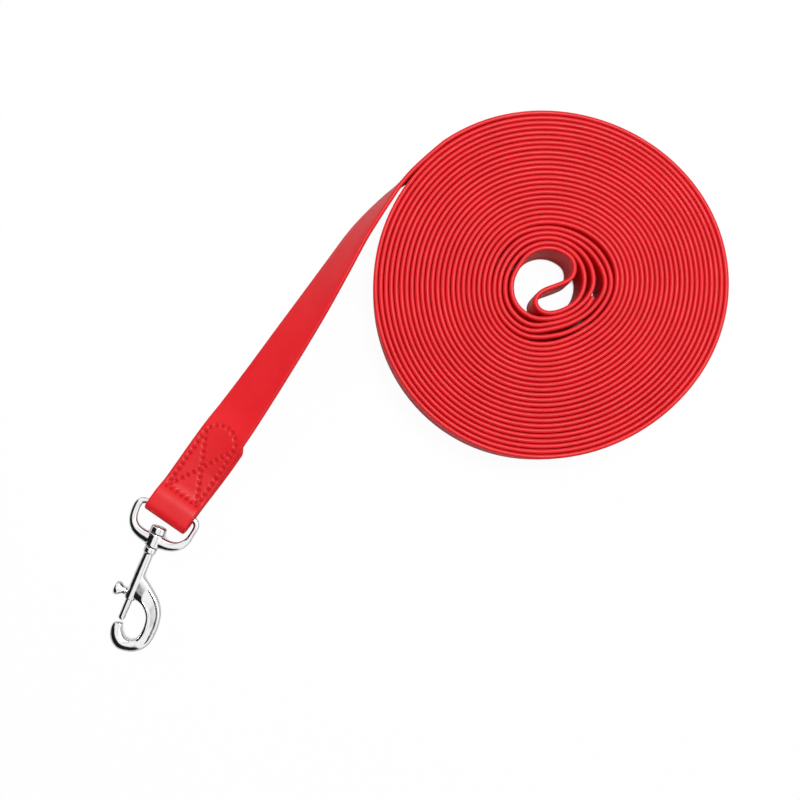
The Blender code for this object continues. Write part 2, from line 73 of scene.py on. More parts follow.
# ---- the strap ----
STRAP_WIDTH = 25.0
STRAP_THICK = 2.4
EDGE_RADIUS = 1.1        # the coating rounds the strap's edges
EDGE_STEPS = 4           # faces round each quarter of an edge
CROWN = 0.1              # the rolled strap's faces swell this much, so that its turns touch
FACE_STEPS = 4           # faces across the strap where no seam is sewn
SEAM_STEPS = 56          # faces across it where the stitch holes are
NARROWEST = 0.02         # half-width left between the edges at the tip of the flap
COIL_CENTRE = (67.6, 49.5)
SPIRAL_START = 1200      # degrees of winding where the regular spiral begins
COIL_END = 9486          # degrees of winding where the tail takes over
SPIRAL_PITCH = 2.63
MEAN_RADIUS = 28.16      # at MEAN_ANGLE degrees of winding
MEAN_ANGLE = 810
OUTER_ANGLE = 9180
# How the turns stray from circles: waves round a turn, the cosine's and the sine's share at
# MEAN_ANGLE, and what each has gained by OUTER_ANGLE.
OVALS = [(1, -0.28, 0.38, -0.77, -0.19), (2, 1.09, 1.31, -0.06, -0.35), (3, 0.90, 0.13, 0.0, 0.0)]
LIFT_OFF = 0.25          # the last turn leaves the coil this far as it turns into the tail
LIFT_OFF_START = 9426    # degrees of winding
LIFT_OFF_SPAN = 60
# How unevenly the turns lie on each other: millimetres, waves for each radian of winding, start.
SLACK = [(0.015, 0.37, 0.0), (0.01, 1.93, 1.0)]
COIL_LIFT = 0.09         # the coil's edges stand this far up and ripple by as much
RIPPLE_LENGTH = 137.0    # millimetres of strap for each radian of that ripple
RIPPLE_EASE = 300.0      # the ripple dies out over this much strap before the tail
SPIRAL_STEP = 3.0        # degrees between the strap's cross-sections
INNER_STEP = 0.9         # millimetres between them inside the spiral
TAIL_STEP = 1.5
FOLD_STEP = 0.45

# The route's points are the CAD model's: degrees of winding and radius, then places in plan.
LOOP_END_TURN = [(703, 22.9), (690, 22.0), (660, 20.1), (630, 20.5), (600, 23.9), (570, 24.7), (540, 23.6),
                 (510, 22.4), (480, 22.0), (450, 21.6), (420, 20.5), (390, 18.9), (360, 17.4), (330, 16.2),
                 (300, 14.9), (270, 15.1)]
LOOP_FOLD = [(-4.9, -14.2), (-7.7, -11.3), (-8.1, -8.0), (-6.2, -5.0), (-2.6, -2.7),
             (1.4, -1.3), (6.1, 0.5), (10.0, 2.4), (12.2, 5.7), (12.5, 9.4)]
FIRST_TURN = [(52, 17.7), (72, 18.4), (90, 19.0), (120, 19.4), (150, 19.0), (180, 20.3), (210, 20.9),
              (240, 19.8), (270, 17.8), (300, 17.5), (330, 19.2), (360, 22.1), (390, 23.1), (420, 23.5),
              (450, 24.3), (480, 25.1), (510, 25.4), (540, 26.5), (570, 27.9), (600, 27.1), (630, 23.2),
              (660, 22.7), (690, 24.9), (720, 28.3), (750, 27.3), (780, 26.5), (810, 26.9), (840, 27.8),
              (870, 28.2), (900, 29.2), (930, 30.6), (960, 30.1), (990, 27.0), (1020, 26.3), (1050, 28.2),
              (1080, 31.3), (1110, 30.6), (1140, 29.3), (1170, 29.5)]

# The tail's plan, its turn from standing on edge to lying flat, and its climb onto the flap.
TAIL_ROUTE = [(-1.1, 112.1, 3.0, 0.0), (-10.9, 103.6, 11.0, 0.0), (-19.2, 94.2, 19.0, 0.0),
              (-26.7, 84.9, 25.5, 0.0), (-33.5, 75.5, 30.5, 0.0), (-43.6, 59.4, 38.0, 0.0),
              (-55.8, 40.3, 47.0, 0.0), (-68.4, 21.2, 55.0, 0.0), (-81.2, 2.1, 62.6, 0.0),
              (-94.3, -17.0, 72.0, 0.35), (-101.0, -26.5, 78.5, 1.0), (-107.7, -36.0, 85.0, 1.0),
              (-114.3, -45.6, 90.0, 1.0)]
TAIL_LIFT = 0.1          # between the tail's lower edge and the surface

# ---- the sewn fold, measured along the strap from the middle of the snap's bar ----
UNDER_Z = 1.7
UPPER_Z = 4.3
FOLD_TIP = 6.8
LOOP_TOP_Z = 8.25
UPPER_RISE = [(-14.0, 0.0), (-11.5, 0.11), (-9.0, 0.43), (-6.5, 0.78), (-4.0, 0.96), (-1.0, 1.0)]
BAR_ON_STRAP = 2.2       # the strap lies this far to one side of the bar's middle
FLAT_FROM = -20.0        # the upper layer is flat from the tail to here
FINE_FROM = -62.0        # where the mesh becomes fine enough for the stitch holes
FLAP_SHOULDER = -44.5    # the flap's sides run straight to here
FLAP_END = -54.2         # the top of its rounded end
FLAP_CURVE = 1.6         # 2 would round the end like an ellipse; less gives it flatter sides
FLAP_BLUNT = 0.985       # the mesh stops at this share of the rounded end
FLAP_SKEW = 1.2          # how far the flap's end shows past the strap's edge
FLAP_SKEW_LENGTH = 40.0  # the skew grows over this length from the bar

# ---- the seam ----
SEAM_LEFT, SEAM_RIGHT = -9.3, 9.6
SEAM_FOOT = -9.4
SEAM_SHOULDER = -43.4
SEAM_ARCH = 8.3
STITCH = 3.4
# Where the cross's two strokes start and end, as steps inwards from the box's corners.
RISING_INSET = ((-1.6, 0.9), (0.0, -0.4))
FALLING_INSET = ((0.0, 0.8), (-1.2, -1.0))
THREAD_RADIUS = 0.34
THREAD_RISE = 0.5        # from a stitch's ends to its middle
THREAD_SINK = 0.78       # its ends are this far down in the holes
THREAD_TWIST = 1.6       # turns of its two plies in a stitch
UNDER_SINK = 0.35        # the under stitches are pulled so much deeper
HOLE_RADIUS = 0.8
HOLE_DEPTH = 1.15
GROOVE_RADIUS = 0.9      # the thread presses a shallow groove between its holes
GROOVE_DEPTH = 0.06
GROOVE_STEP = 0.5

# ---- the snap ----
SHANK_RADIUS = 2.0
HEAD_RADIUS = 4.2
HEAD_ENDS = (9.4, 13.2)
EYE_BORE = 2.3
BARREL_RADIUS = 2.75
BARREL_FRONT = -27.2
BORE_RADIUS = 2.05
BORE_END = -6.0
BOLT_RADIUS = 1.75
BOLT_ENDS = (-38.6, -20.5)
KNOB_Y = -24.2
KNOB_TRAVEL = 9.0
SLOT_HALF = 1.3
SPRING_ENDS = (-20.2, -6.3)
SPRING_TURNS = 9
SPRING_STEPS = 24        # points on each of its turns
SPRING_RADIUS = 1.35
SPRING_WIRE = 0.25
CASTING_VOXEL = 0.16
OUTER_RIB, INNER_RIB = 1.5, 1.9   # widths of the ribs beside the hook's sunken panel
PANEL_SLOPE = 0.5
PANEL_DEPTH = 0.9
ARM_ROUND, CLAW_ROUND = 0.45, 0.95   # 1 is an ellipse, less is squarer
CLAW_FROM = -38.4        # the section turns from squarish to round from here
CLAW_EASE = 8.0

# ---- the studio, in metres ----
CAMERA_PLACE = (-0.0235, -0.0447, 0.525)
CAMERA_FORWARD = (0.02633509, 0.06804389, -1.0)
CAMERA_LENS = 44.325
# Each softbox's place from the leash's middle, size, power, and whether glossy pieces show it.
SOFTBOXES = {"key_softbox": ((0.3, 0.25, 1.2), 0.5, 11.5, True),
             "fill_softbox": ((-0.1, -0.1, 1.2), 0.9, 3.0, False),
             "side_softbox": ((-0.9, 0.55, 0.35), 0.5, 3.0, False)}
WORLD_LIGHT = 0.22
BAND_LIGHT = 1.25
BAND_SIDE = (-0.9, -0.44, 0.0)
# How bright the surroundings are at so much of the way towards BAND_SIDE.
BANDS = [(-1.0, 1.0), (-0.45, 0.95), (-0.36, 0.3), (-0.3, 0.72), (0.1, 0.8), (0.26, 0.72), (0.31, 0.5),
         (0.345, 0.26), (0.37, 0.01), (1.0, 0.01)]
TABLE_HALF = 2.0
TABLE_GLOW = 0.93        # share of the table that glows to the camera by itself, painted light that hides its shadows
TABLE_SHINE = 1.03
SLIT_REACH = 0.004       # the table doesn't shine in slits narrower than about this


# ---------------------------------------------------------------- small tools

def catmull(points, steps, closed=False):
    """Points on a smooth curve through the given ones, the ends included, as an array."""
    knots = np.array(points, float)
    if closed:
        padded = np.vstack([knots[-1:], knots, knots[:2]])
    else:
        padded = np.vstack([knots[:1], knots, knots[-1:]])
    t = (np.arange(steps) / steps)[:, None]
    pieces = []
    for before, start, end, after in zip(padded, padded[1:], padded[2:], padded[3:]):
        pieces.append(0.5 * (2 * start + (end - before) * t
                             + (2 * before - 5 * start + 4 * end - after) * t ** 2
                             + (3 * start - before - 3 * end + after) * t ** 3))
    if not closed:
        pieces.append(knots[-1:])
    return np.vstack(pieces)


def lengths_along(points):
    return np.concatenate([[0.0], np.cumsum(np.linalg.norm(np.diff(points, axis=0), axis=1))])


def resample(points, step):
    """The polyline's points again, spaced evenly and about a step apart."""
    reach = lengths_along(points)
    places = np.linspace(0, reach[-1], max(2, round(reach[-1] / step) + 1))
    return np.column_stack([np.interp(places, reach, column) for column in points.T])


def smoothed(points, passes):
    """The polyline with its kinks evened out, its ends kept."""
    points = points.copy()
    for _ in range(passes):
        points[1:-1] = (points[:-2] + 2 * points[1:-1] + points[2:]) / 4
    return points


def unit(vectors):
    return vectors / np.linalg.norm(vectors, axis=-1, keepdims=True)


def smoothstep(x):
    x = np.clip(x, 0.0, 1.0)
    return x * x * (3 - 2 * x)


def mesh_object(name, verts, faces, scale=MM):
    mesh = bpy.data.meshes.new(name)
    mesh.from_pydata((np.asarray(verts) * scale).tolist(), [], faces)
    mesh.update()
    made = bpy.data.objects.new(name, mesh)
    bpy.context.scene.collection.objects.link(made)
    return made


def lofted(rings, closed=False):
    """Vertices and faces of a tube through equal rings, capped at its ends or closed on itself."""
    count, around = len(rings), len(rings[0])
    faces = []
    for index in range(count if closed else count - 1):
        low, high = index * around, (index + 1) % count * around
        for step in range(around):
            after = (step + 1) % around
            faces.append((low + step, low + after, high + after, high + step))
    if not closed:
        faces.append(tuple(range(around))[::-1])
        faces.append(tuple(range((count - 1) * around, count * around)))
    return np.vstack(rings), faces


def tidy_mesh(made, smooth=True, sharp=None):
    body = bmesh.new()
    body.from_mesh(made.data)
    bmesh.ops.recalc_face_normals(body, faces=body.faces)
    body.to_mesh(made.data)
    body.free()
    if smooth:
        made.data.shade_smooth()
    if sharp:
        made.data.set_sharp_from_angle(angle=math.radians(sharp))
    return made


def finish_piece(made, body, look, nodes=()):
    made.data.materials.clear()
    made.data.materials.append(look)
    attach(made, body)
    if nodes:
        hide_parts(*nodes)
    return made


# ---------------------------------------------------------------- materials

def new_material(name):
    made = bpy.data.materials.new(name)
    made.use_nodes = True
    return made, made.node_tree, made.node_tree.nodes["Principled BSDF"]


def add_node(tree, kind, **settings):
    node = tree.nodes.new(kind)
    for key, value in settings.items():
        if key in node.inputs:
            node.inputs[key].default_value = value
        else:
            setattr(node, key, value)
    return node


def noise_of(tree, coordinates, scale, detail=3.0, roughness=0.55):
    noise = add_node(tree, "ShaderNodeTexNoise")
    noise.inputs["Scale"].default_value = scale
    noise.inputs["Detail"].default_value = detail
    noise.inputs["Roughness"].default_value = roughness
    tree.links.new(coordinates, noise.inputs["Vector"])
    return noise.outputs["Fac"]


def ramp_of(tree, value, low, high, dark, light):
    """A colour ramp from dark at low to light at high."""
    ramp = add_node(tree, "ShaderNodeValToRGB")
    ramp.color_ramp.elements[0].position = low
    ramp.color_ramp.elements[1].position = high
    ramp.color_ramp.elements[0].color = (*dark, 1.0)
    ramp.color_ramp.elements[1].color = (*light, 1.0)
    tree.links.new(value, ramp.inputs["Fac"])
    return ramp.outputs["Color"]


def range_of(tree, value, low, high, to_low, to_high):
    mapped = add_node(tree, "ShaderNodeMapRange")
    for name, number in (("From Min", low), ("From Max", high), ("To Min", to_low), ("To Max", to_high)):
        mapped.inputs[name].default_value = number
    tree.links.new(value, mapped.inputs["Value"])
    return mapped.outputs["Result"]


def bump_of(tree, heights):
    """Bump nodes chained: each height is (socket, strength, depth in metres)."""
    normal = None
    for height, strength, depth in heights:
        bump = add_node(tree, "ShaderNodeBump")
        bump.inputs["Strength"].default_value = strength
        bump.inputs["Distance"].default_value = depth
        tree.links.new(height, bump.inputs["Height"])
        if normal:
            tree.links.new(normal, bump.inputs["Normal"])
        normal = bump.outputs["Normal"]
    return normal


def stretched(tree, coordinates, scale):
    mapping = add_node(tree, "ShaderNodeMapping")
    mapping.inputs["Scale"].default_value = scale
    tree.links.new(coordinates, mapping.inputs["Vector"])
    return mapping.outputs["Vector"]


def coated_strap_material():
    """Satin red coating over webbing: fine grain, faint lengthwise drawing lines, scuffed sheen."""
    made, tree, shader = new_material("coated_strap")
    place = add_node(tree, "ShaderNodeTexCoord").outputs["Object"]
    strap_uv = add_node(tree, "ShaderNodeUVMap", uv_map="strap").outputs["UV"]
    patches = noise_of(tree, place, 45.0, 4.0)
    colour = ramp_of(tree, patches, 0.3, 0.7, (0.66, 0.009, 0.014), (0.73, 0.013, 0.019))
    tree.links.new(colour, shader.inputs["Base Color"])
    lines = noise_of(tree, stretched(tree, strap_uv, (1500.0, 18.0, 1.0)), 1.0, 2.0)
    scuffs = noise_of(tree, stretched(tree, strap_uv, (260.0, 40.0, 1.0)), 1.0, 5.0, 0.65)
    tree.links.new(range_of(tree, scuffs, 0.35, 0.7, 0.36, 0.52), shader.inputs["Roughness"])
    grain = noise_of(tree, place, 3200.0, 2.0)
    ripple = noise_of(tree, place, 260.0, 2.0)
    normal = bump_of(tree, [(ripple, 0.25, 0.00008), (lines, 0.2, 0.00002), (grain, 0.35, 0.00003)])
    tree.links.new(normal, shader.inputs["Normal"])
    shader.inputs["Specular IOR Level"].default_value = 0.25
    shader.inputs["Coat Weight"].default_value = 0.08
    shader.inputs["Coat Roughness"].default_value = 0.3
    return made


def thread_material():
    """Twisted polyester in the strap's red, with the plies' shade and a little fuzz."""
    made, tree, shader = new_material("sewing_thread")
    place = add_node(tree, "ShaderNodeTexCoord").outputs["Object"]
    fibres = noise_of(tree, place, 5200.0, 3.0)
    colour = ramp_of(tree, fibres, 0.3, 0.7, (0.50, 0.007, 0.012), (0.72, 0.015, 0.021))
    tree.links.new(colour, shader.inputs["Base Color"])
    tree.links.new(range_of(tree, fibres, 0.3, 0.7, 0.55, 0.8), shader.inputs["Roughness"])
    tree.links.new(bump_of(tree, [(fibres, 0.5, 0.00006)]), shader.inputs["Normal"])
    shader.inputs["Sheen Weight"].default_value = 0.05
    shader.inputs["Sheen Roughness"].default_value = 0.5
    return made


def chrome_material():
    """Polished plating over a slightly wavy casting, with handling scratches."""
    made, tree, shader = new_material("polished_chrome")
    place = add_node(tree, "ShaderNodeTexCoord").outputs["Object"]
    cloud = noise_of(tree, place, 180.0, 4.0)
    tree.links.new(ramp_of(tree, cloud, 0.3, 0.7, (0.86, 0.865, 0.88), (0.93, 0.93, 0.935)),
                   shader.inputs["Base Color"])
    scratches = noise_of(tree, stretched(tree, place, (2600.0, 240.0, 900.0)), 1.0, 4.0, 0.7)
    tree.links.new(range_of(tree, scratches, 0.45, 0.75, 0.045, 0.16), shader.inputs["Roughness"])
    waves = noise_of(tree, place, 320.0, 1.0)
    normal = bump_of(tree, [(waves, 0.12, 0.00025), (scratches, 0.06, 0.00002)])
    tree.links.new(normal, shader.inputs["Normal"])
    shader.inputs["Metallic"].default_value = 1.0
    return made


def spring_material():
    """Drawn steel wire."""
    made, tree, shader = new_material("drawn_steel")
    place = add_node(tree, "ShaderNodeTexCoord").outputs["Object"]
    drawn = noise_of(tree, place, 4000.0, 3.0)
    tree.links.new(ramp_of(tree, drawn, 0.3, 0.7, (0.42, 0.43, 0.45), (0.62, 0.63, 0.65)),
                   shader.inputs["Base Color"])
    tree.links.new(range_of(tree, drawn, 0.3, 0.7, 0.22, 0.4), shader.inputs["Roughness"])
    tree.links.new(bump_of(tree, [(drawn, 0.2, 0.00003)]), shader.inputs["Normal"])
    shader.inputs["Metallic"].default_value = 1.0
    return made


def table_material():
    """A white studio table that stays white to the eye by painted light: to the camera it glows by itself,
    which hides its shadows, and an occlusion mask turns this glow off in narrow slits.
    """
    made, tree, shader = new_material("white_table")
    place = add_node(tree, "ShaderNodeTexCoord").outputs["Object"]
    clouds = noise_of(tree, place, 6.0)
    tree.links.new(ramp_of(tree, clouds, 0.3, 0.7, (0.50, 0.50, 0.50), (0.52, 0.52, 0.52)),
                   shader.inputs["Base Color"])
    shader.inputs["Roughness"].default_value = 0.9
    # Painted light: the table glows to camera rays, hiding its shadows; ambient occlusion fades the glow
    # out in narrow slits.
    glow = add_node(tree, "ShaderNodeEmission", Strength=TABLE_SHINE)
    seen = add_node(tree, "ShaderNodeLightPath").outputs["Is Camera Ray"]
    open_air = add_node(tree, "ShaderNodeAmbientOcclusion", Distance=SLIT_REACH).outputs["AO"]
    share = add_node(tree, "ShaderNodeMath", operation="MULTIPLY")
    tree.links.new(range_of(tree, open_air, 0.28, 0.5, 0.0, TABLE_GLOW), share.inputs[1])
    tree.links.new(seen, share.inputs[0])
    mix = add_node(tree, "ShaderNodeMixShader")
    tree.links.new(share.outputs[0], mix.inputs["Fac"])
    tree.links.new(shader.outputs["BSDF"], mix.inputs[1])
    tree.links.new(glow.outputs["Emission"], mix.inputs[2])
    tree.links.new(mix.outputs["Shader"], tree.nodes["Material Output"].inputs["Surface"])
    return made


# ---------------------------------------------------------------- studio

def make_camera():
    data = bpy.data.cameras.new("camera")
    data.lens = CAMERA_LENS
    data.sensor_width = 36.0
    data.clip_start = 0.01
    camera = bpy.data.objects.new("camera", data)
    bpy.context.scene.collection.objects.link(camera)
    forward = Vector(CAMERA_FORWARD).normalized()
    right = forward.cross(Vector((0, 1, 0))).normalized()
    up = right.cross(forward)
    turn = Matrix((right, up, -forward)).transposed().to_4x4()
    camera.matrix_world = Matrix.Translation(CAMERA_PLACE) @ turn
    bpy.context.scene.camera = camera


def make_light(name, place, aim, size, power, glossy):
    data = bpy.data.lights.new(name, "AREA")
    data.shape = "DISK"
    data.size = size
    data.energy = power
    lamp = bpy.data.objects.new(name, data)
    bpy.context.scene.collection.objects.link(lamp)
    lamp.location = place
    lamp.visible_glossy = glossy
    lamp.rotation_euler = (aim - place).to_track_quat("-Z", "Y").to_euler()


def make_world():
    """Even white surroundings. Glossy pieces see them banded: bright low on one side, dark on the other."""
    world = bpy.data.worlds.new("studio")
    world.use_nodes = True
    bpy.context.scene.world = world
    tree = world.node_tree
    backdrop = tree.nodes["Background"]
    backdrop.inputs["Color"].default_value = (1.0, 1.0, 1.0, 1.0)
    paths = add_node(tree, "ShaderNodeLightPath").outputs
    tree.links.new(range_of(tree, paths["Is Camera Ray"], 0.0, 1.0, WORLD_LIGHT, 1.0),
                   backdrop.inputs["Strength"])
    direction = add_node(tree, "ShaderNodeTexCoord").outputs["Generated"]
    facing = add_node(tree, "ShaderNodeVectorMath", operation="DOT_PRODUCT")
    facing.inputs[1].default_value = Vector(BAND_SIDE).normalized()
    tree.links.new(direction, facing.inputs[0])
    bands = add_node(tree, "ShaderNodeValToRGB")
    tree.links.new(range_of(tree, facing.outputs["Value"], -1.0, 1.0, 0.0, 1.0), bands.inputs["Fac"])
    stops = bands.color_ramp.elements
    stops.remove(stops[1])
    for index, (place, level) in enumerate(BANDS):
        stop = stops.new((place + 1) / 2) if index else stops[0]
        stop.color = (level, level, level, 1.0)
    reflected = add_node(tree, "ShaderNodeBackground", Strength=BAND_LIGHT)
    tree.links.new(bands.outputs["Color"], reflected.inputs["Color"])
    mix = add_node(tree, "ShaderNodeMixShader")
    tree.links.new(paths["Is Glossy Ray"], mix.inputs["Fac"])
    tree.links.new(backdrop.outputs["Background"], mix.inputs[1])
    tree.links.new(reflected.outputs["Background"], mix.inputs[2])
    tree.links.new(mix.outputs["Shader"], tree.nodes["World Output"].inputs["Surface"])


def make_studio():
    centre = (Vector(CAD_BOX[0]) + Vector(CAD_BOX[1])) / 2
    for name, (offset, size, power, glossy) in SOFTBOXES.items():
        make_light(name, centre + Vector(offset), centre, size, power, glossy)
    make_world()
    half, floor = TABLE_HALF / MM, CAD_BOX[0][2] / MM
    corners = [(-half, -half, floor), (half, -half, floor), (half, half, floor), (-half, half, floor)]
    table = mesh_object("studio_table", corners, [(0, 1, 2, 3)])
    table.data.materials.append(table_material())
    bpy.context.scene.view_settings.view_transform = "Standard"


# ---------------------------------------------------------------- the strap's route

def polar(winding, radius):
    angle = np.radians(winding)
    return np.column_stack([COIL_CENTRE[0] + radius * np.cos(angle),
                            COIL_CENTRE[1] + radius * np.sin(angle)])


def oval_radius(winding):
    """Radius of the coil's centreline; turns lie a little more or less tightly on each other."""
    outwards = (winding - MEAN_ANGLE) / (OUTER_ANGLE - MEAN_ANGLE)
    angle = np.radians(winding)
    radius = MEAN_RADIUS + SPIRAL_PITCH * (winding - MEAN_ANGLE) / 360
    for waves, cosine, sine, cosine_gain, sine_gain in OVALS:
        radius = radius + (cosine + cosine_gain * outwards) * np.cos(waves * angle)
        radius = radius + (sine + sine_gain * outwards) * np.sin(waves * angle)
    for swing, waves, start in SLACK:
        radius = radius + swing * np.sin(waves * angle + start)
    return radius + LIFT_OFF * smoothstep((winding - LIFT_OFF_START) / LIFT_OFF_SPAN)


def turn_plan(turn):
    """Plan of a winding given by (degrees, radius)."""
    read = catmull(turn, 12)
    return polar(read[:, 0], read[:, 1])


def coil_plan():
    """Plan of the rolled strap, from the hand loop's sewn end to where the tail leaves."""
    loop_end = turn_plan(LOOP_END_TURN)
    first_turn = turn_plan(FIRST_TURN[1:] + [(SPIRAL_START, float(oval_radius(SPIRAL_START)))])
    fold = np.array(LOOP_FOLD) + COIL_CENTRE
    before = [polar(*place) for place in LOOP_END_TURN[-2:]]
    after = [polar(*place) for place in FIRST_TURN[:2]]
    bend = catmull(np.vstack([*before, fold, *after]), 12)[12:]
    inner = np.vstack([loop_end[:-1], bend[:-1], first_turn])
    inner = smoothed(resample(inner, INNER_STEP), 6)
    winding = np.arange(SPIRAL_START + SPIRAL_STEP, COIL_END + 0.1, SPIRAL_STEP)
    return np.vstack([inner, polar(winding, oval_radius(winding))])


def coil_frames():
    """Centres and width directions of the strap's cross-sections in the coil."""
    plan = coil_plan()
    reach = lengths_along(plan)
    ease = smoothstep((reach[-1] - reach) / RIPPLE_EASE)
    height = STRAP_WIDTH / 2 + ease * COIL_LIFT * (1 + np.sin(reach / RIPPLE_LENGTH + 2.0))
    centres = np.column_stack([plan, height])
    widths = np.tile([0.0, 0.0, 1.0], (len(plan), 1))
    return centres, widths


def tail_frames(last_of_coil):
    """The tail as it turns from its edge onto its face and climbs onto the flap."""
    start = [(*point[:2], 0.0, 0.0) for point in last_of_coil]
    route = catmull(start + TAIL_ROUTE, 24)[24:]
    route[:, 3] = np.clip(route[:, 3], 0.0, 1.0)
    route = resample(route, TAIL_STEP)[1:]
    turn = np.radians(route[:, 2])
    along = unit(np.gradient(route[:, :2], axis=0))
    side = np.column_stack([-along[:, 1], along[:, 0], np.zeros(len(along))])
    widths = side * np.sin(turn)[:, None]
    widths[:, 2] += np.cos(turn)
    height = TAIL_LIFT + STRAP_WIDTH / 2 * np.cos(turn) + STRAP_THICK / 2 * np.sin(turn)
    height += route[:, 3] * (UPPER_Z - STRAP_THICK / 2 - TAIL_LIFT)
    return np.column_stack([route[:, :2], smoothed(height, 8)]), widths


def snap_frame():
    """The snap's own axes in the row frame, from the swivel joint: +Y along the swivel."""
    swivel = JOINTS["hook_swivel"]
    forward = Vector(swivel["axis"]).normalized()
    side = forward.cross(Vector((0, 0, 1))).normalized()
    axes = Matrix((side, forward, side.cross(forward))).transposed().to_4x4()
    return Matrix.Translation(swivel["pos_m"]) @ axes


def fold_line():
    """The fold's centreline as (along, height): over the bar, round the tip and under it."""
    bend = (LOOP_TOP_Z - UNDER_Z) / 2
    bend_x = FOLD_TIP - bend - STRAP_THICK / 2
    line = [(along, UPPER_Z + (LOOP_TOP_Z - UPPER_Z) * share) for along, share in UPPER_RISE]
    for angle in np.radians(np.arange(90.0, -91.0, -22.5)):
        line.append((bend_x + bend * math.cos(angle), UNDER_Z + bend + bend * math.sin(angle)))
    line += [(-4.0, UNDER_Z + 0.15), (-10.0, UNDER_Z), (-16.0, UNDER_Z)]
    return catmull(line, 8)


class Strap:
    """The strap's cross-sections from end to end, and the lookup of points on its sewn layers."""

    def __init__(self):
        coil_centres, coil_widths = coil_frames()
        tail_centres, tail_widths = tail_frames(coil_centres[-3::2])
        pivot = Vector(JOINTS["eye_pivot"]["pos_m"]) / MM
        side = snap_frame().to_3x3().col[0]
        self.bar = np.array((pivot + side * BAR_ON_STRAP)[:2])
        tail_end = tail_centres[-1, :2]
        self.along_axis = unit(self.bar - tail_end)
        self.across_axis = np.array([-self.along_axis[1], self.along_axis[0]])
        start = -float(np.linalg.norm(self.bar - tail_end))
        line = np.vstack([[(start, UPPER_Z)], [(FLAT_FROM, UPPER_Z)], fold_line()])
        line = smoothed(resample(line, FOLD_STEP), 3)
        turning = int(np.argmax(line[:, 0]))
        fold_centres = self.in_plane(line[:, 0], line[:, 1])
        flat = np.tile([*self.across_axis, 0.0], (len(line), 1))
        tail_along = start - lengths_along(tail_centres[::-1])[::-1]
        near = tail_along > FINE_FROM
        fine_along = np.arange(FINE_FROM, start - FOLD_STEP / 2, FOLD_STEP)
        fine_centres = np.column_stack([np.interp(fine_along, tail_along, c) for c in tail_centres.T])
        fine_widths = np.column_stack([np.interp(fine_along, tail_along, c) for c in tail_widths.T])
        coarse = len(coil_centres) + int(np.count_nonzero(~near))
        upper_centres = np.vstack([fine_centres, fold_centres[:turning]])
        upper_widths = np.vstack([fine_widths, flat[:turning]])
        self.upper_along = np.concatenate([fine_along, line[:turning, 0]])
        self.upper = self.with_faces(upper_centres, upper_widths)
        flap_along = np.arange(line[-1, 0] - FOLD_STEP, FLAP_END, -FOLD_STEP)
        flap_centres, flap_widths = self.flap(flap_along)
        self.centres = np.vstack([coil_centres, tail_centres[~near], upper_centres,
                                  fold_centres[turning:], flap_centres])
        self.widths = np.vstack([coil_widths, tail_widths[~near], upper_widths,
                                 flat[turning:], flap_widths])
        self.first_tail = len(coil_centres)
        self.first_fine = coarse
        self.first_under = coarse + len(upper_centres)
        self.along = np.concatenate([np.full(coarse, -1000.0), self.upper_along,
                                     line[turning:, 0], flap_along])
        under = np.arange(len(self.along)) >= self.first_under
        skew = np.where(under, FLAP_SKEW * smoothstep(-self.along / FLAP_SKEW_LENGTH), 0.0)
        self.centres, self.widths, self.faces = self.with_faces(self.centres, self.widths)
        self.centres = self.centres + self.widths * skew[:, None]
        past = np.where(under, (FLAP_SHOULDER - self.along) / (FLAP_SHOULDER - FLAP_END), 0.0)
        past = np.clip(past, 0, FLAP_BLUNT)
        self.half = STRAP_WIDTH / 2 * (1 - past ** FLAP_CURVE) ** (1 / FLAP_CURVE)

    def in_plane(self, along, height):
        plan = self.bar + np.outer(along, self.along_axis)
        return np.column_stack([plan, height])

    def with_faces(self, centres, widths):
        """Squares the width directions to the route and adds the face normals."""
        ahead = unit(np.gradient(centres, axis=0))
        faces = unit(np.cross(ahead, widths))
        return centres, unit(np.cross(faces, ahead)), faces

    def flap(self, along):
        """The flap lies against the underside of the strap that it is sewn to."""
        centres, widths, faces = self.upper
        order = np.argsort(self.upper_along)
        order = order[self.upper_along[order] < UPPER_RISE[0][0]]
        read = [np.column_stack([np.interp(along, self.upper_along[order], c) for c in part[order].T])
                for part in (centres, widths, faces)]
        return read[0] - read[2] * (UPPER_Z - UNDER_Z), read[1]

    def point(self, along, across, above, under=False):
        """A place over the strap's outer face, on its upper layer or under its flap."""
        part = slice(self.first_under, None) if under else slice(self.first_fine, self.first_under)
        order = np.argsort(self.along[part])
        read = [np.array([np.interp(along, self.along[part][order], c) for c in values[part][order].T])
                for values in (self.centres, self.widths, self.faces)]
        return read[0] + read[1] * across + read[2] * (STRAP_THICK / 2 + above)


# ---------------------------------------------------------------- the seam's pattern

def seam_strokes():
    """The seam as strokes of (along, across) holes: the box's foot and sides, the arch, the cross."""
    left, right = SEAM_LEFT, SEAM_RIGHT
    middle, half = (left + right) / 2, (right - left) / 2
    angles = np.radians(np.linspace(0, 180, 61))
    arch = np.column_stack([SEAM_SHOULDER - SEAM_ARCH * np.sin(angles), middle - half * np.cos(angles)])
    outline = np.vstack([[(SEAM_FOOT, left)], arch, [(SEAM_FOOT, right)]])
    foot = np.array([(SEAM_FOOT, right), (SEAM_FOOT, left)])
    rising = np.array([(SEAM_FOOT, left), (SEAM_SHOULDER, right)]) + RISING_INSET
    falling = np.array([(SEAM_SHOULDER, left), (SEAM_FOOT, right)]) + FALLING_INSET
    return [resample(stroke, STITCH) for stroke in (outline, foot, rising, falling)]


def hole_field(points, holes, strokes):
    """How far the coating is pulled in at (along, across) points, by the holes and the thread."""
    gaps = np.linalg.norm(points[:, None, :] - holes[None, :, :], axis=2).min(axis=1)
    pull = HOLE_DEPTH * np.exp(-(gaps / HOLE_RADIUS) ** 2)
    line = np.vstack([resample(stroke, GROOVE_STEP) for stroke in strokes])
    gaps = np.linalg.norm(points[:, None, :] - line[None, :, :], axis=2).min(axis=1)
    return pull + GROOVE_DEPTH * np.exp(-(gaps / GROOVE_RADIUS) ** 2)


# ---------------------------------------------------------------- strap and thread pieces

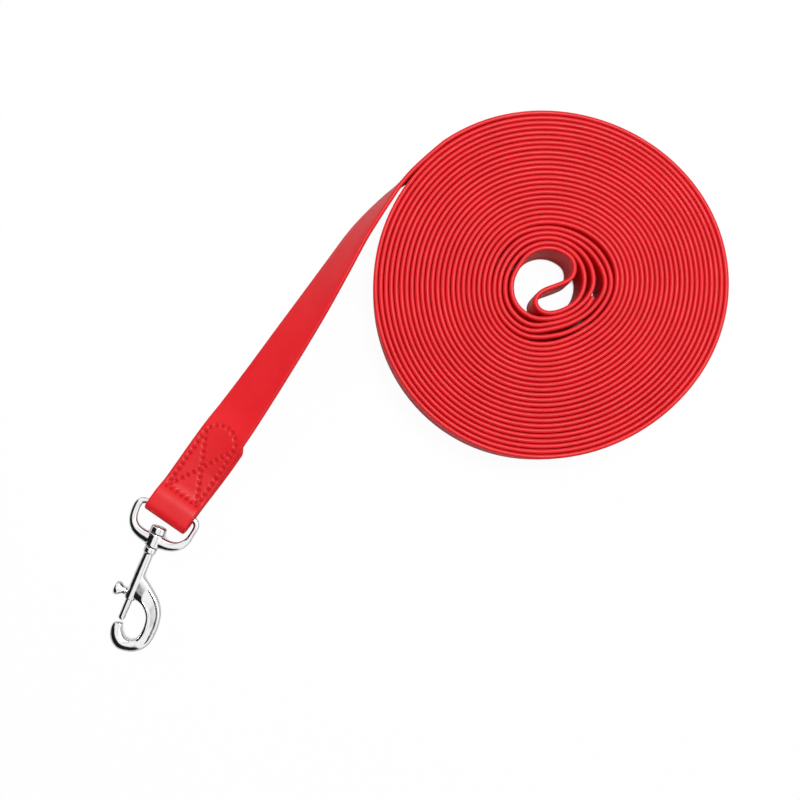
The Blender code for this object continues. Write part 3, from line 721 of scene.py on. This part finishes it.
def section(divisions, crown=0.0):
    """The strap's cross-section, once round: share of the flat half-width, and the offsets across and
    up. The outer face comes first, then the far edge, the inner face and the near edge."""
    flat = np.linspace(-1, 1, divisions + 1)
    angles = np.radians(np.linspace(90, 0, EDGE_STEPS + 1))
    quarter = np.column_stack([np.cos(angles), np.sin(angles)]) * EDGE_RADIUS
    drop = STRAP_THICK / 2 - EDGE_RADIUS
    far = np.vstack([quarter + (0, drop), quarter[::-1] * (1, -1) - (0, drop)])
    swell = crown * (1 - flat ** 2)
    rows = [(share, 0.0, STRAP_THICK / 2 + more) for share, more in zip(flat, swell)]
    rows += [(1.0, across, up) for across, up in far[1:-1]]
    rows += [(share, 0.0, -STRAP_THICK / 2 - more) for share, more in zip(flat[::-1], swell)]
    rows += [(-1.0, -across, up) for across, up in far[1:-1][::-1]]
    return np.array(rows)


def ring_points(strap, index, profile, drop):
    """A cross-section's points, their places across the strap, with its outer face pressed in by drop."""
    flat_half = max(strap.half[index] - EDGE_RADIUS, NARROWEST)
    across = profile[:, 0] * flat_half + profile[:, 1] * min(1.0, strap.half[index] / EDGE_RADIUS)
    return (strap.centres[index] + across[:, None] * strap.widths[index]
            + (profile[:, 2] - drop)[:, None] * strap.faces[index]), across


def pressed_in(strap, index, profile, strokes):
    """How far the seam presses in each point of a cross-section's outer face."""
    flat_half = max(strap.half[index] - EDGE_RADIUS, NARROWEST)
    across = profile[:, 0] * flat_half + profile[:, 1]
    spots = np.column_stack([np.full(len(across), strap.along[index]), across])
    return hole_field(spots, np.vstack(strokes), strokes) * (profile[:, 2] == STRAP_THICK / 2)


def places_in_fine():
    """For each point of the plain cross-section, its place in the fine one."""
    stride, edge = SEAM_STEPS // FACE_STEPS, 2 * EDGE_STEPS + 1
    turned_over = SEAM_STEPS + edge
    outer = [k * stride for k in range(FACE_STEPS + 1)]
    far_edge = [SEAM_STEPS + k for k in range(1, edge)]
    return outer + far_edge + [turned_over + place for place in outer + far_edge]


def bridge(low, high, end):
    """Faces between the cross-section that starts at vertex low and the next, from high up to end."""
    count, after = high - low, end - high
    if count == after:
        return [(low + k, low + (k + 1) % count, high + (k + 1) % count, high + k) for k in range(count)]
    matches = places_in_fine() + [after]
    faces = []
    for k in range(count):
        far = [high + j % after for j in range(matches[k], matches[k + 1] + 1)]
        faces.append((low + k, low + (k + 1) % count, *far[::-1]))
    return faces


def strap_piece(strap, strokes, look):
    """The whole strap as one sheet of coated webbing, with the stitch holes pressed into its seam."""
    crowned, plain, fine = section(FACE_STEPS, CROWN), section(FACE_STEPS), section(SEAM_STEPS)
    reach = lengths_along(strap.centres)
    rows, uvs, starts = [], [], [0]
    for index in range(len(strap.centres)):
        profile, drop = crowned if index < strap.first_tail else plain, 0.0
        if index >= strap.first_fine:
            profile, drop = fine, pressed_in(strap, index, fine, strokes)
        points, across = ring_points(strap, index, profile, drop)
        rows.append(points)
        uvs.append(np.column_stack([across * MM, np.full(len(across), reach[index] * MM)]))
        starts.append(starts[-1] + len(points))
    faces = []
    for low, high, end in zip(starts, starts[1:], starts[2:]):
        faces += bridge(low, high, end)
    faces.append(tuple(range(starts[1]))[::-1])
    faces.append(tuple(range(starts[-2], starts[-1])))
    made = mesh_object("strap_webbing", np.vstack(rows), faces)
    layer = made.data.uv_layers.new(name="strap")
    corner_uvs = np.vstack(uvs)[[loop.vertex_index for loop in made.data.loops]]
    layer.data.foreach_set("uv", corner_uvs.ravel())
    tidy_mesh(made, sharp=60)
    finish_piece(made, "strap", look, ["strap_coil", "strap_tail", "strap_snap_fold"])
    return made


def stitch_rings(start, end, normal):
    """One stitch between two holes: a two-ply thread that dives into the strap at both ends."""
    rings = []
    ahead = unit(end - start)
    side = np.cross(ahead, normal)
    shares = np.linspace(0, 1, 13)
    for share in shares:
        rise = 1 - abs(2 * share - 1) ** 3.2
        centre = start + (end - start) * share + normal * (rise * THREAD_RISE - THREAD_SINK)
        twist = share * 2 * math.pi * THREAD_TWIST
        ring = []
        for step in range(10):
            angle = 2 * math.pi * step / 10
            radius = THREAD_RADIUS * (0.9 + 0.14 * math.cos(2 * (angle - twist)))
            radius *= 1.0 if 0 < share < 1 else 0.5
            ring.append(centre + side * radius * math.cos(angle) + normal * radius * math.sin(angle))
        rings.append(np.array(ring))
    return rings


def seam_piece(strap, strokes, under, name, node, look):
    """Every stitch of one side of the seam."""
    verts, faces, total = [], [], 0
    for stroke in strokes:
        for start, end in zip(stroke, stroke[1:]):
            ends = [strap.point(*place, 0.0, under) for place in (start, end)]
            over = [strap.point(*place, 1.0, under) for place in (start, end)]
            normal = unit(over[0] - ends[0] + over[1] - ends[1])
            if under:
                ends = [place - normal * UNDER_SINK for place in ends]
            points, quads = lofted(stitch_rings(*ends, normal))
            verts.append(points)
            faces += [tuple(total + corner for corner in face) for face in quads]
            total += len(points)
    made = mesh_object(name, np.vstack(verts), faces)
    tidy_mesh(made)
    return finish_piece(made, "strap", look, [node])


# ---------------------------------------------------------------- snap pieces, in the snap's own axes

# The eye's outline as (x, y, half-width, half-height), from the bar round by the right-hand arm.
EYE_LOOP = [(1.2, 23.2, 1.6, 1.6), (8.0, 23.2, 1.6, 1.6), (13.6, 23.1, 1.6, 1.6), (16.4, 22.2, 1.6, 1.7),
            (17.5, 19.8, 1.4, 1.75), (17.0, 15.6, 1.35, 1.8), (16.2, 12.0, 1.6, 1.9), (14.4, 8.9, 2.0, 2.1),
            (11.9, 6.9, 2.3, 2.3), (8.4, 5.7, 2.7, 2.6), (4.4, 5.5, 3.1, 2.9), (0.0, 5.6, 3.4, 3.0),
            (-4.2, 5.9, 3.1, 2.9), (-8.0, 6.6, 2.8, 2.6), (-11.4, 8.1, 2.5, 2.3), (-13.9, 10.9, 2.2, 2.1),
            (-15.1, 14.8, 2.0, 1.9), (-15.2, 19.4, 1.9, 1.8), (-14.1, 22.0, 1.75, 1.7),
            (-11.0, 23.1, 1.6, 1.6), (-5.0, 23.2, 1.6, 1.6)]

# The hook as pairs of outer and inner points, its half-thickness and how deep its panel is cut.
HOOK_SPAN = [((0.5, -12.4), (0.5, -25.2), 2.3, 0.0), ((3.0, -14.1), (3.1, -26.2), 2.4, 0.0),
             ((6.4, -16.2), (6.0, -27.0), 2.5, 0.0), ((9.6, -18.5), (8.6, -28.6), 2.6, 0.6),
             ((13.0, -21.2), (10.5, -30.6), 2.6, 1.0), ((16.0, -24.6), (11.8, -32.8), 2.6, 1.0),
             ((18.2, -28.9), (12.4, -35.2), 2.6, 1.0), ((19.2, -34.0), (12.6, -37.6), 2.6, 1.0),
             ((19.4, -39.2), (12.6, -39.9), 2.7, 0.9), ((18.6, -44.6), (11.8, -42.9), 2.8, 0.6),
             ((15.9, -48.9), (10.6, -45.0), 2.95, 0.0), ((11.2, -51.9), (8.6, -46.4), 3.0, 0.0),
             ((5.0, -53.0), (6.2, -46.3), 3.0, 0.0), ((1.0, -51.4), (4.4, -45.2), 3.0, 0.0),
             ((-1.8, -48.2), (3.0, -43.6), 2.9, 0.0), ((-3.0, -44.2), (2.2, -41.6), 2.6, 0.0),
             ((-2.7, -41.0), (1.9, -40.1), 2.3, 0.0)]


def superellipse(angle, power):
    cosine, sine = np.cos(angle), np.sin(angle)
    return np.sign(cosine) * np.abs(cosine) ** power, np.sign(sine) * np.abs(sine) ** power


def turned(profile, segments=48, axis="Y"):
    """Vertices and faces of a solid turned about an axis, from (radius, place) points, both ends on it."""
    angles = np.linspace(0, 2 * math.pi, segments, endpoint=False)
    rings = []
    for radius, place in profile:
        circle = [np.full(segments, place), radius * np.cos(angles), radius * np.sin(angles)]
        if axis == "Y":
            circle = [circle[2], circle[0], circle[1]]
        rings.append(np.column_stack(circle))
    return lofted(rings)


def rounded_profile(corners, radius, steps=4):
    """A turned profile's corners rounded: (radius, place) points, ends left as they are."""
    points = [np.array(corners[0], float)]
    for before, corner, after in zip(corners, corners[1:], corners[2:]):
        before, corner, after = (np.array(p, float) for p in (before, corner, after))
        cut = min(radius, np.linalg.norm(before - corner) / 2, np.linalg.norm(after - corner) / 2)
        start, end = corner + unit(before - corner) * cut, corner + unit(after - corner) * cut
        for t in np.linspace(0, 1, steps + 1):
            points.append((1 - t) ** 2 * start + 2 * t * (1 - t) * corner + t * t * end)
    points.append(np.array(corners[-1], float))
    return points


def joined(name, solids):
    """One object in millimetres from several (vertices, faces) solids."""
    verts, faces, total = [], [], 0
    for points, polygons in solids:
        verts.append(points)
        faces += [tuple(total + corner for corner in face) for face in polygons]
        total += len(points)
    return tidy_mesh(mesh_object(name, np.vstack(verts), faces, scale=1.0), smooth=False)


def applied(made):
    """The object's modifiers made part of its mesh."""
    depsgraph = bpy.context.evaluated_depsgraph_get()
    mesh = bpy.data.meshes.new_from_object(made.evaluated_get(depsgraph))
    made.modifiers.clear()
    made.data = mesh
    return made


def cast(made, smoothing=8):
    """Melts overlapping solids into one casting with small fillets where they meet."""
    melt = made.modifiers.new("melt", "REMESH")
    melt.mode = "VOXEL"
    melt.voxel_size = CASTING_VOXEL
    polish = made.modifiers.new("polish", "SMOOTH")
    polish.factor = 0.5
    polish.iterations = smoothing
    return applied(made)


def drilled(made, cutters):
    for verts, faces in cutters:
        cutter = tidy_mesh(mesh_object("cutter", verts, faces, scale=1.0), smooth=False)
        cut = made.modifiers.new("cut", "BOOLEAN")
        cut.operation = "DIFFERENCE"
        cut.solver = "EXACT"
        cut.object = cutter
        applied(made)
        bpy.data.objects.remove(cutter)
    return made


def placed(made, sharp=40):
    """Brings a piece from the snap's axes in millimetres into the row frame."""
    made.data.transform(snap_frame() @ Matrix.Scale(MM, 4))
    return tidy_mesh(made, sharp=sharp)


def rod(radius, ends, rounding=0.3, segments=48):
    low, high = ends
    corners = [(0.01, low), (radius, low), (radius, high), (0.01, high)]
    return turned(rounded_profile(corners, rounding), segments)


def eye_piece(look):
    """The D-shaped casting: bar, two arms, a heavy foot and the swivel's boss."""
    path = catmull(EYE_LOOP, 6, closed=True)
    ahead = unit(np.roll(path[:, :2], -1, axis=0) - np.roll(path[:, :2], 1, axis=0))
    across = np.column_stack([ahead[:, 1], -ahead[:, 0]])
    angles = np.linspace(0, 2 * math.pi, 32, endpoint=False)
    flat, tall = superellipse(angles, 0.85)
    rings = []
    for (x, y, half_wide, half_high), normal in zip(path, across):
        rings.append(np.column_stack([x + flat * half_wide * normal[0], y + flat * half_wide * normal[1],
                                      tall * half_high]))
    boss = rod(4.0, (2.05, 9.05), 0.7)
    made = cast(joined("eye_casting", [lofted(rings, closed=True), boss]))
    drilled(made, [rod(EYE_BORE, (-4.0, 20.0), 0.01)])
    return finish_piece(placed(made), "eye", look, ["swivel_eye"])


def hook_solid():
    """The hook's arm and claw, with a sunken panel between two ribs on each flank."""
    spans = [(*outer, *inner, thick, panel) for outer, inner, thick, panel in HOOK_SPAN]
    path = catmull(spans, 8)
    angles = np.linspace(0, 2 * math.pi, 72, endpoint=False)
    rings = []
    for outer_x, outer_y, inner_x, inner_y, thick, panel in path:
        outer, inner = np.array([outer_x, outer_y]), np.array([inner_x, inner_y])
        panel = max(panel, 0.0)
        claw = smoothstep((CLAW_FROM - (outer_y + inner_y) / 2) / CLAW_EASE)
        flat, tall = superellipse(angles, ARM_ROUND + (CLAW_ROUND - ARM_ROUND) * claw)
        half = np.linalg.norm(outer - inner) / 2
        outer_side = smoothstep((half - OUTER_RIB - flat * half) / PANEL_SLOPE)
        inner_side = smoothstep((half - INNER_RIB + flat * half) / PANEL_SLOPE)
        height = tall * thick - np.sign(tall) * outer_side * inner_side * panel * PANEL_DEPTH
        centre, reach = (outer + inner) / 2, (outer - inner) / 2
        rings.append(np.column_stack([centre[0] + flat * reach[0], centre[1] + flat * reach[1], height]))
    return lofted(rings)


def hook_piece(look):
    """Barrel, hook, collar, swivel shank and its peened head, in one casting."""
    into_head = HEAD_ENDS[0] + 0.4
    barrel = [(0.01, BARREL_FRONT), (BARREL_RADIUS, BARREL_FRONT), (BARREL_RADIUS, -12.0), (2.5, -1.6),
              (3.25, -1.3), (3.25, 1.2), (2.9, 1.65), (SHANK_RADIUS, 1.7), (SHANK_RADIUS, into_head),
              (0.01, into_head)]
    head = [(0.01, HEAD_ENDS[0]), (HEAD_RADIUS, HEAD_ENDS[0]), (HEAD_RADIUS, HEAD_ENDS[1] - 0.6),
            (HEAD_RADIUS - 0.9, HEAD_ENDS[1]), (1.6, HEAD_ENDS[1] - 0.1), (0.01, HEAD_ENDS[1] - 0.5)]
    solids = [hook_solid(), turned(rounded_profile(barrel, 0.35)), turned(rounded_profile(head, 0.35))]
    made = cast(joined("hook_casting", solids))
    bore = rod(BORE_RADIUS, (BARREL_FRONT - 2.0, BORE_END), 0.01)
    low, high = KNOB_Y, KNOB_Y + KNOB_TRAVEL
    angles = np.linspace(0, math.pi, 13)
    outline = [(high + SLOT_HALF * math.sin(a), SLOT_HALF * math.cos(a)) for a in angles]
    outline += [(low - SLOT_HALF * math.sin(a), -SLOT_HALF * math.cos(a)) for a in angles]
    slot = lofted([np.array([(x, y, z) for y, z in outline]) for x in (-5.0, -1.2)])
    drilled(made, [bore, slot])
    return finish_piece(placed(made), "hook", look, ["hook_body"])


def bolt_piece(look):
    """The sliding bolt, its nose rounded and chamfered."""
    low, high = BOLT_ENDS
    corners = [(0.01, low), (0.9, low + 0.02), (BOLT_RADIUS - 0.25, low + 0.5), (BOLT_RADIUS, low + 1.3),
               (BOLT_RADIUS, high), (0.01, high)]
    made = joined("bolt_rod", [turned(rounded_profile(corners, 0.35))])
    return finish_piece(placed(made), "bolt", look, ["bolt"])


def knob_piece(look):
    """The thumb knob: a waisted, dished button on a stud that runs in the barrel's slot."""
    corners = [(0.01, -8.9), (1.5, -9.0), (2.1, -9.4), (3.1, -9.15), (3.6, -8.3), (3.55, -7.2),
               (2.9, -6.2), (2.1, -5.3), (1.85, -4.5), (1.9, -3.7), (1.75, -3.25), (1.0, -3.2),
               (1.0, -1.3), (0.01, -1.3)]
    verts, faces = turned(rounded_profile(corners, 0.4), axis="X")
    made = joined("thumb_button", [(verts + (0, KNOB_Y, 0), faces)])
    return finish_piece(placed(made), "bolt", look, ["thumb_knob"])


def spring_piece(look):
    """The compression spring behind the bolt, its end coils closed."""
    low, high = SPRING_ENDS[0] + SPRING_WIRE, SPRING_ENDS[1] - SPRING_WIRE
    share = np.linspace(0, 1, SPRING_TURNS * SPRING_STEPS + 1)
    dead = 2 * SPRING_WIRE * 1.05 / (high - low)
    rise = np.interp(share, [0, 1 / SPRING_TURNS, 1 - 1 / SPRING_TURNS, 1], [0, dead, 1 - dead, 1])
    angle = 2 * math.pi * SPRING_TURNS * share
    outward = np.column_stack([np.cos(angle), np.zeros(len(angle)), np.sin(angle)])
    path = SPRING_RADIUS * outward + np.outer(low + (high - low) * rise, (0, 1, 0))
    ahead = unit(np.gradient(path, axis=0))
    across = np.cross(ahead, outward)
    around = np.linspace(0, 2 * math.pi, 10, endpoint=False)
    rings = [centre + SPRING_WIRE * (np.outer(np.cos(around), out) + np.outer(np.sin(around), side))
             for centre, out, side in zip(path, outward, across)]
    made = placed(joined("return_spring", [lofted(rings)]), sharp=None)
    finish_piece(made, "hook", look, ["bolt_spring"])
    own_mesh(made)
    return made


# ---------------------------------------------------------------- the whole leash

make_camera()
leash_strap = Strap()
seam = seam_strokes()
strap_look, thread_look, chrome_look = coated_strap_material(), thread_material(), chrome_material()
strap_piece(leash_strap, seam, strap_look)
seam_piece(leash_strap, seam, False, "seam_stitches", "snap_seam_thread", thread_look)
seam_piece(leash_strap, seam, True, "seam_under_stitches", "snap_seam_bobbin_thread", thread_look)
eye_piece(chrome_look)
hook_piece(chrome_look)
bolt_piece(chrome_look)
knob_piece(chrome_look)
spring_piece(spring_material())
make_studio()
